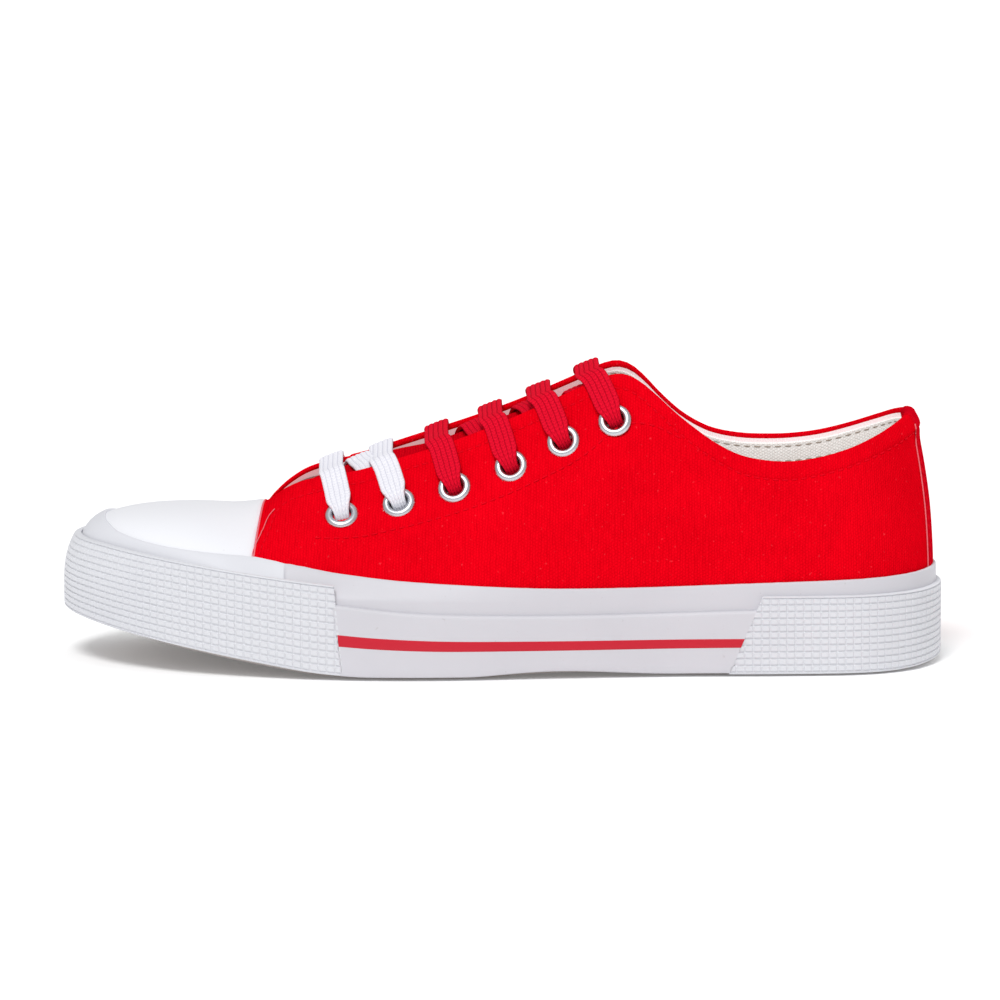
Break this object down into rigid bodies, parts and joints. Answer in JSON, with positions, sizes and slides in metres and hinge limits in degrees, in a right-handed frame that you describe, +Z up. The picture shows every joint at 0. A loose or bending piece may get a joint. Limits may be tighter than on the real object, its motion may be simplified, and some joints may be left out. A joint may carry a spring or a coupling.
{
  "type": "canvas sneaker",
  "caption": "Low canvas sneaker for the left foot with white rubber toe cap, foxing and sole, metal eyelets and flat laces in straight bars.",
  "frame": {"origin": "on the ground under the middle of the shoe's box", "axes": "+X towards the heel, -Y towards the outer side, +Z up"},
  "size_m": [0.271, 0.0978, 0.0921],
  "materials": {
    "red_canvas": "woven, matt",
    "lining_canvas": "woven, matt",
    "cap_rubber": "smooth, satin",
    "white_rubber": "smooth and textured, satin",
    "sole_rubber": "matt",
    "eyelet_metal": "polished",
    "white_lace": "braided, matt",
    "red_lace": "braided, matt"
  },
  "bodies": {
    "root": {"outsole": "sole_rubber", "insole": "lining_canvas", "upper": "red_canvas", "tongue": "red_canvas", "toe_cap": "cap_rubber", "foxing_band": "white_rubber", "foxing_tape_lateral": "white_rubber", "foxing_tape_medial": "white_rubber", "toe_strip": "white_rubber", "heel_patch": "white_rubber", "eyelet_lateral_1": "eyelet_metal", "eyelet_lateral_2": "eyelet_metal", "eyelet_lateral_3": "eyelet_metal", "eyelet_lateral_4": "eyelet_metal", "eyelet_lateral_5": "eyelet_metal", "eyelet_lateral_6": "eyelet_metal", "eyelet_medial_1": "eyelet_metal", "eyelet_medial_2": "eyelet_metal", "eyelet_medial_3": "eyelet_metal", "eyelet_medial_4": "eyelet_metal", "eyelet_medial_5": "eyelet_metal", "eyelet_medial_6": "eyelet_metal", "lace_bar_1": "white_lace", "lace_bar_2": "white_lace", "lace_bar_3": "red_lace", "lace_bar_4": "red_lace", "lace_bar_5": "red_lace", "lace_bar_6": "red_lace"}
  },
  "joints": []
}
